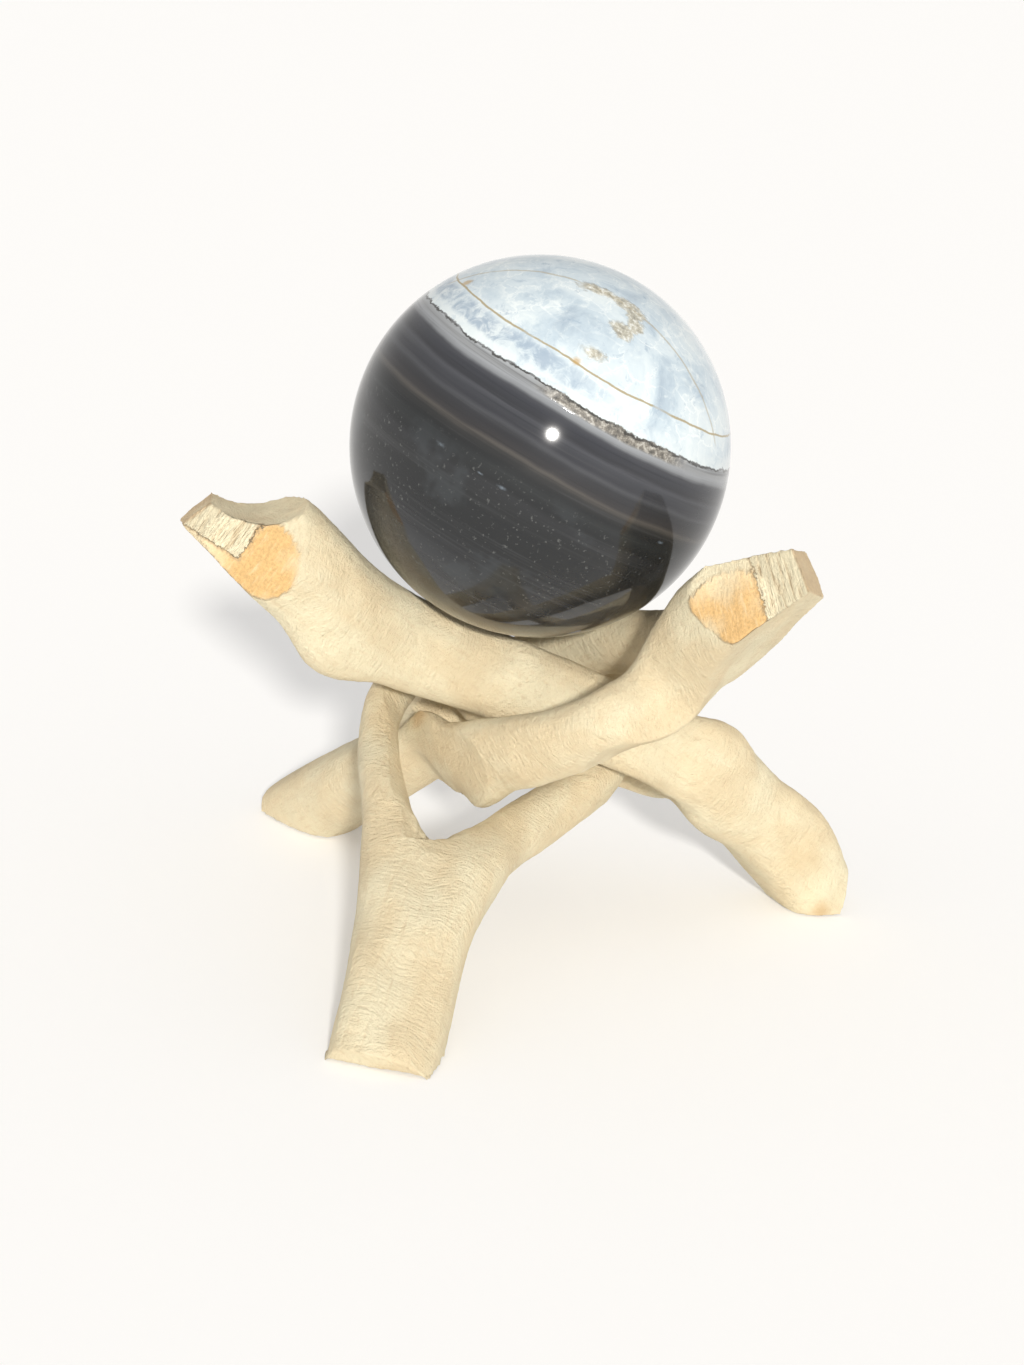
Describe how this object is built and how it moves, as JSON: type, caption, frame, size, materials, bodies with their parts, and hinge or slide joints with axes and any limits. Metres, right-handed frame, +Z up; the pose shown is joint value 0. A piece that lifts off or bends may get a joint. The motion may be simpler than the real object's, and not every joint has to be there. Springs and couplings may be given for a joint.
{
  "type": "decorative sphere",
  "caption": "Polished banded agate ball resting on an interlocked stand of carved raw-wood legs that weave through each other's eyes.",
  "frame": {"origin": "on the ground under the middle of the whole part's bounding box", "axes": "+Z up; -Y towards the front leg, which faces the viewer; the right leg's foot lies towards +X"},
  "size_m": [0.1238, 0.125, 0.1203],
  "materials": {
    "polished_agate": "banded charcoal and pale blue-white, polished to a gloss",
    "front_leg_wood": "raw, knife-cut, unsealed",
    "right_leg_wood": "raw, knife-cut, unsealed",
    "left_leg_wood": "raw, knife-cut, unsealed"
  },
  "bodies": {
    "root": {"agate_ball": "polished_agate", "front_leg": "front_leg_wood", "right_leg": "right_leg_wood", "left_leg": "left_leg_wood"}
  },
  "joints": []
}
